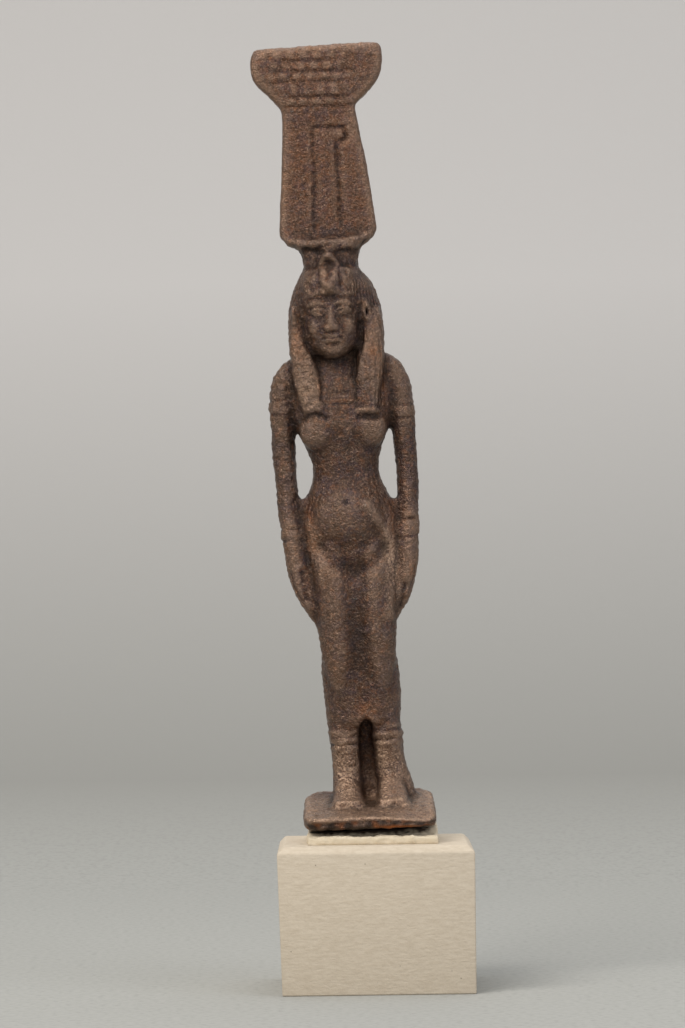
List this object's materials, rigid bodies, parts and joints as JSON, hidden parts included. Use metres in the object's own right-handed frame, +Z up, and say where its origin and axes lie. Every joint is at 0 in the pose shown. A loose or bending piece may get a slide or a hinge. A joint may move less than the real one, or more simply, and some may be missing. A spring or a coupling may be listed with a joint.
{
  "type": "bronze statuette on a mount",
  "caption": "Slender cast bronze of a standing goddess in a heavy wig and a tall flat headdress, leaning on a pad cut to its sloping base plate, on a cream painted block.",
  "frame": {"origin": "the middle of the block's underside", "axes": "+Z up along the figure, -Y out of the figure's front, +X to the right of a viewer who faces it"},
  "size_m": [0.0276, 0.0254, 0.1232],
  "materials": {
    "patinated_bronze": "dark brown patina, pitted",
    "painted_pad": "matt cream paint",
    "painted_block": "matt cream paint"
  },
  "bodies": {
    "root": {"statuette": "patinated_bronze", "levelling_pad": "painted_pad", "mount_block": "painted_block"}
  },
  "joints": []
}
